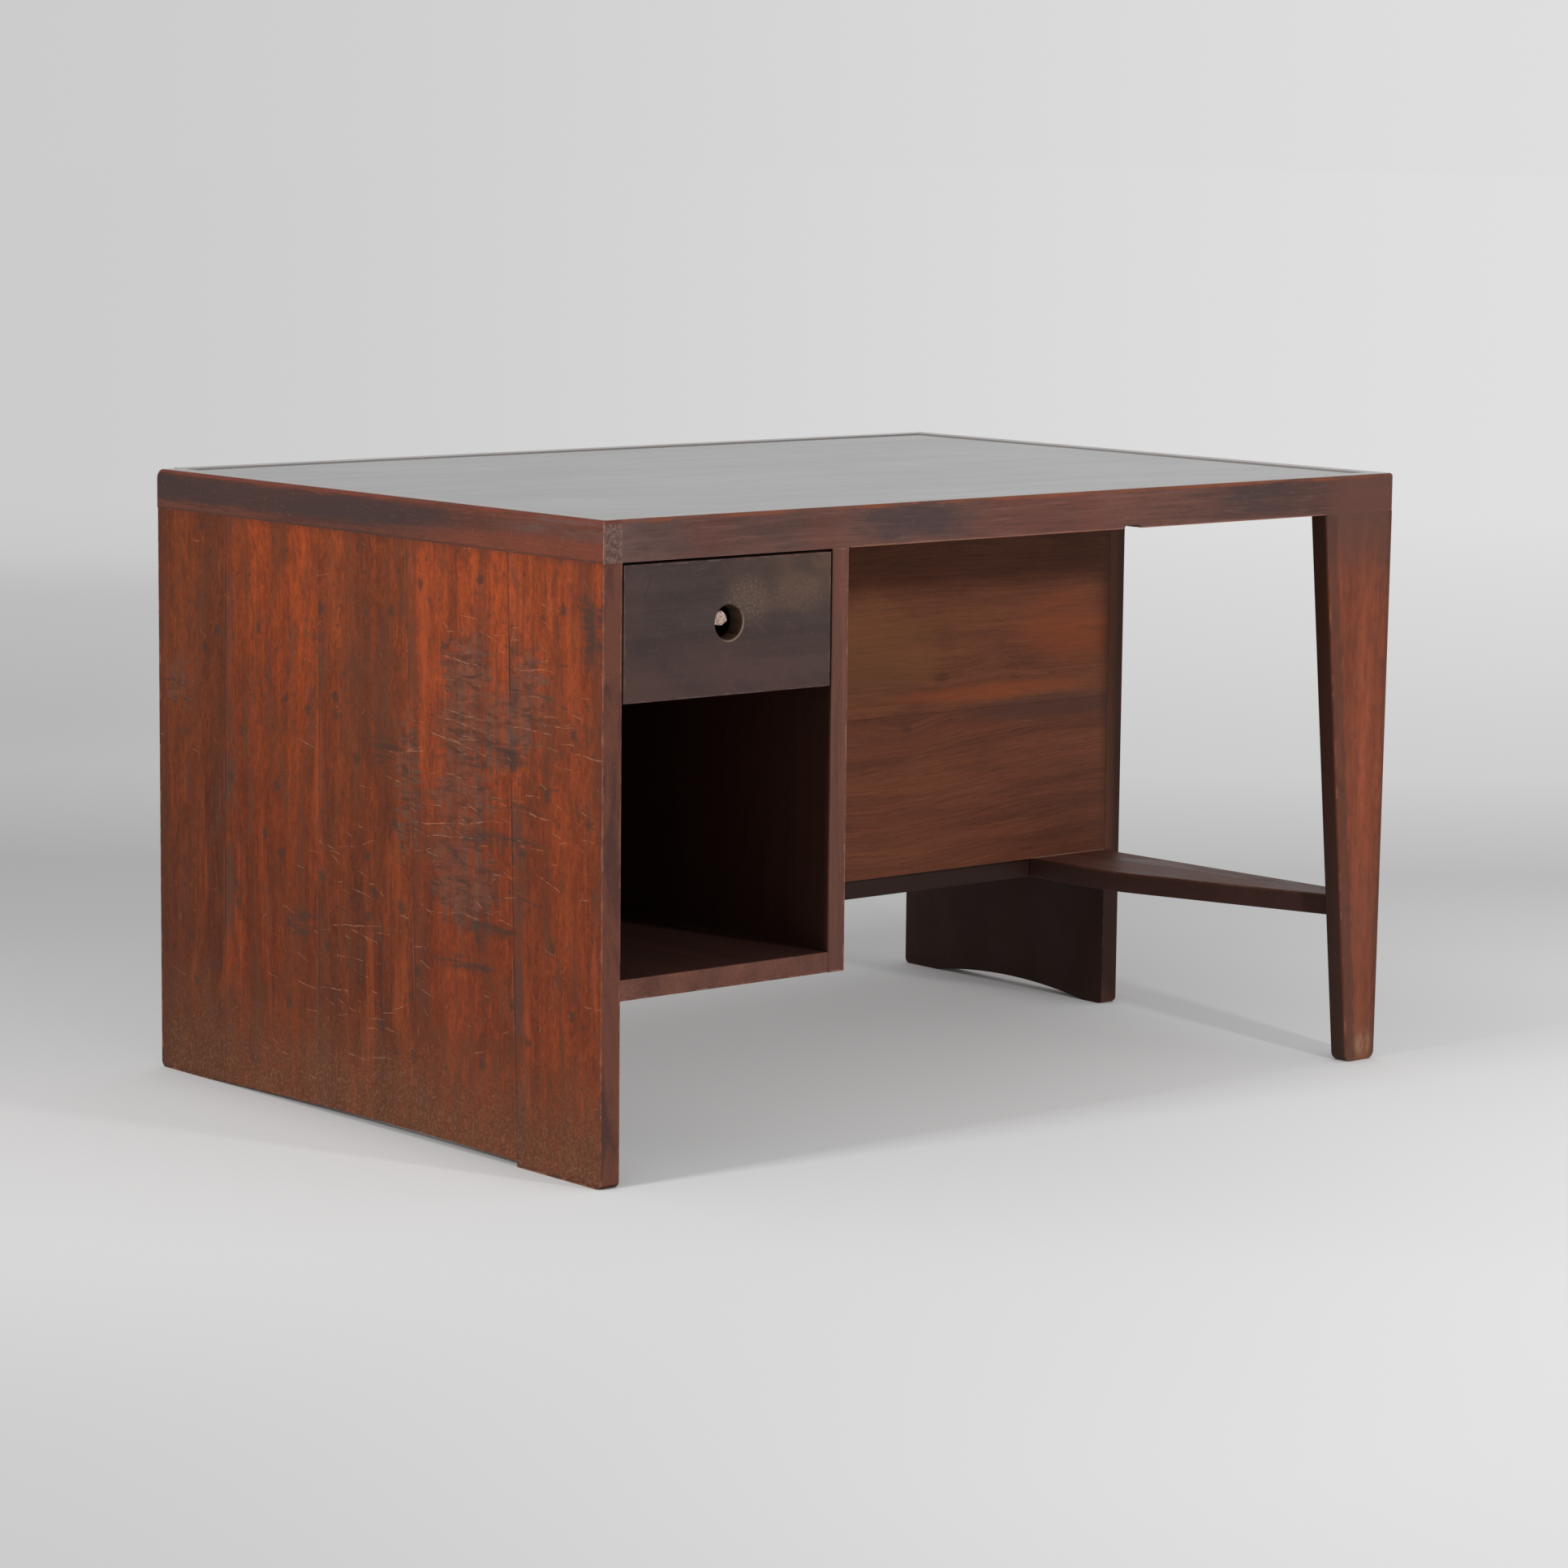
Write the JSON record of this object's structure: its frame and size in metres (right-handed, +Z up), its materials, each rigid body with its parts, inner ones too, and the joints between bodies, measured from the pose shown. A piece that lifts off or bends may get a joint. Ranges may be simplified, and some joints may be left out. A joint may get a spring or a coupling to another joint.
{
  "type": "pigeonhole desk",
  "caption": "Teak writing desk with a leather top, a drawer with a finger hole over an open compartment, a tapered leg and foot rail, and open pigeonholes on the visitor's side.",
  "frame": {"origin": "on the floor, under the centre of the top", "axes": "+X from the pedestal end to the leg end, +Y from the sitter's side to the visitor's side, +Z up"},
  "size_m": [1.215, 0.86, 0.72],
  "materials": {
    "teak_gable": "old red-brown stain, scratched",
    "teak_rail": "dark, rubbed along the edges",
    "teak_panel": "red-brown, dull",
    "teak_drawer_front": "dark grey-brown, handled",
    "teak_inner": "bare, dusty",
    "leather": "black, worn smooth",
    "screw_steel": "plain"
  },
  "bodies": {
    "desk": {"bearer_left": "teak_inner", "bearer_middle": "teak_inner", "bearer_modesty": "teak_inner", "bearer_pedestal": "teak_inner", "bearer_right": "teak_inner", "cleat_back": "teak_inner", "drawer_runner_left": "teak_inner", "drawer_runner_right": "teak_inner", "end_board_back": "teak_panel", "end_board_front": "teak_panel", "front_leg": "teak_panel", "gable_board_1": "teak_gable", "gable_board_2": "teak_gable", "gable_board_3": "teak_gable", "gable_board_4": "teak_gable", "gable_board_5": "teak_gable", "leather_top": "leather", "modesty_board_lower": "teak_panel", "modesty_board_upper": "teak_panel", "panel_dowels": "teak_inner", "pedestal_floor": "teak_panel", "pedestal_side_panel": "teak_panel", "rack_divider_lower_1": "teak_inner", "rack_divider_lower_2": "teak_inner", "rack_divider_upper_1": "teak_inner", "rack_divider_upper_2": "teak_inner", "rack_floor_board_back": "teak_inner", "rack_floor_board_front": "teak_inner", "rack_shelf_board_back": "teak_inner", "rack_shelf_board_front": "teak_inner", "runner_screws": "screw_steel", "stretcher": "teak_panel", "top_board_1": "teak_inner", "top_board_2": "teak_inner", "top_board_3": "teak_inner", "top_board_4": "teak_inner", "top_rail_back": "teak_rail", "top_rail_front": "teak_rail", "top_rail_left": "teak_rail", "top_rail_right": "teak_rail"},
    "drawer": {"drawer_front": "teak_drawer_front", "drawer_side_left": "teak_inner", "drawer_side_right": "teak_inner", "drawer_back": "teak_inner", "drawer_bottom": "teak_inner"}
  },
  "joints": [
    {"name": "drawer_slide", "type": "slide", "parent": "desk", "child": "drawer", "axis": [0, -1, 0], "range_m": [0, 0.3]}
  ]
}
